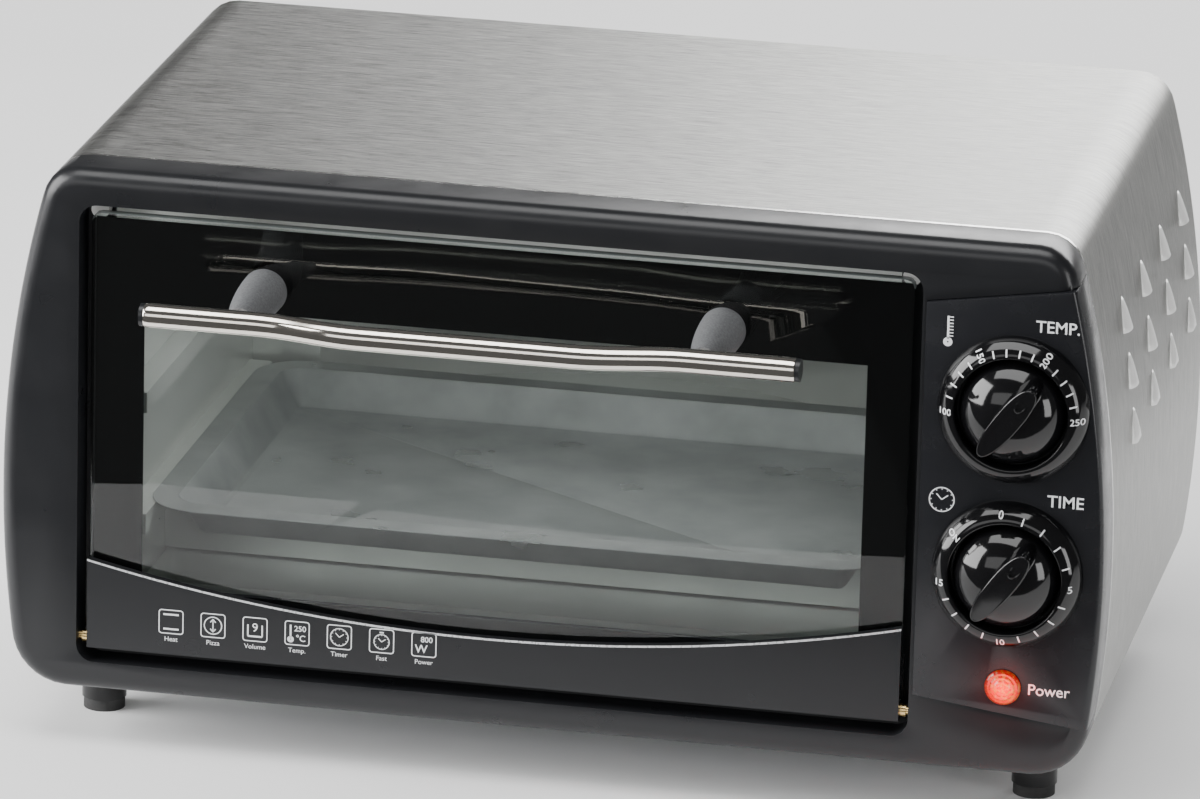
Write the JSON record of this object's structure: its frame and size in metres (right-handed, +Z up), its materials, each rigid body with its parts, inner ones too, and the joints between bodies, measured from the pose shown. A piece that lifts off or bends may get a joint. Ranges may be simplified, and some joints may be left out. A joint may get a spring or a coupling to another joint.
{
  "type": "toaster oven",
  "caption": "Compact toaster oven with barrel-sided brushed steel body, black bezel, drop-down glass door with bowed bar handle, rotary controls, lamp and baking tray.",
  "frame": {"origin": "bottom centre of the whole object's box, on the table under the feet", "axes": "+X to the right seen from the front, +Y to the rear, +Z up; the door faces -Y"},
  "size_m": [0.3662, 0.308, 0.1972],
  "materials": {
    "steel": "brushed",
    "bezel_black": "satin",
    "panel_black": "gloss",
    "ring_black": "gloss",
    "knob_black": "gloss",
    "lamp_red": "clear gloss",
    "lamp_body": "matt",
    "zinc_sheet": "zinc-coated",
    "cavity_sheet": "aluminised, satin",
    "tray_metal": "satin",
    "chrome": "polished",
    "post_grey": "satin",
    "rail_dark": "satin",
    "screw_zinc": "zinc plated",
    "brass": "bright",
    "glass": "gloss",
    "heater_rod": "oxidised",
    "insulator": "matt",
    "silicone": "matt",
    "foot_black": "gloss",
    "rubber": "matt",
    "control_case": "zinc-coated",
    "terminal_white": "matt",
    "wire_red": "satin",
    "gland_black": "satin",
    "cap_black": "satin"
  },
  "bodies": {
    "body": {"steel_cover": "steel", "front_bezel": "bezel_black", "control_panel": "panel_black", "temp_dial_ring": "ring_black", "time_dial_ring": "ring_black", "lamp_lens": "lamp_red", "lamp_housing": "lamp_body", "base_panel": "zinc_sheet", "rear_panel": "zinc_sheet", "mains_gland": "gland_black", "feet": "foot_black", "foot_pads": "rubber", "foot_screws": "screw_zinc", "rear_screws": "screw_zinc", "bezel_screws": "screw_zinc", "control_screws": "screw_zinc", "door_bumpers": "silicone", "cavity_left_wall": "cavity_sheet", "cavity_right_wall": "cavity_sheet", "cavity_roof": "cavity_sheet", "cavity_floor": "cavity_sheet", "cavity_back": "cavity_sheet", "heater_shield": "cavity_sheet", "upper_heaters": "heater_rod", "lower_heaters": "heater_rod", "heater_insulators": "insulator", "wall_rivets": "screw_zinc", "thermostat": "control_case", "timer": "control_case", "timer_bell": "screw_zinc", "terminal_block": "terminal_white", "wires": "wire_red"},
    "door": {"door_glass": "glass", "door_rail": "rail_dark", "hinge_pins": "brass", "handle_bar": "chrome", "handle_caps": "cap_black", "handle_posts": "post_grey", "handle_screws": "screw_zinc"},
    "temp_dial": {"temp_knob": "knob_black", "temp_shaft": "screw_zinc"},
    "time_dial": {"time_knob": "knob_black", "time_shaft": "screw_zinc"},
    "tray": {"baking_tray": "tray_metal"},
    "crumbs": {"crumb_tray": "cavity_sheet"}
  },
  "joints": [
    {"name": "door_hinge", "type": "hinge", "parent": "body", "child": "door", "pos_m": [-0.01765, -0.1065, 0.0369], "axis": [1, 0, 0], "range_deg": [0, 82]},
    {"name": "temp_turn", "type": "hinge", "parent": "body", "child": "temp_dial", "pos_m": [0.1517, -0.1115, 0.144], "axis": [0, 1, 0], "range_deg": [-126, 54]},
    {"name": "time_turn", "type": "hinge", "parent": "body", "child": "time_dial", "pos_m": [0.1517, -0.1115, 0.0888], "axis": [0, 1, 0], "range_deg": [-41, 226]},
    {"name": "tray_slide", "type": "slide", "parent": "body", "child": "tray", "axis": [0, -1, 0], "range_m": [0, 0.018]},
    {"name": "crumb_slide", "type": "slide", "parent": "body", "child": "crumbs", "axis": [0, -1, 0], "range_m": [0, 0.022]}
  ]
}
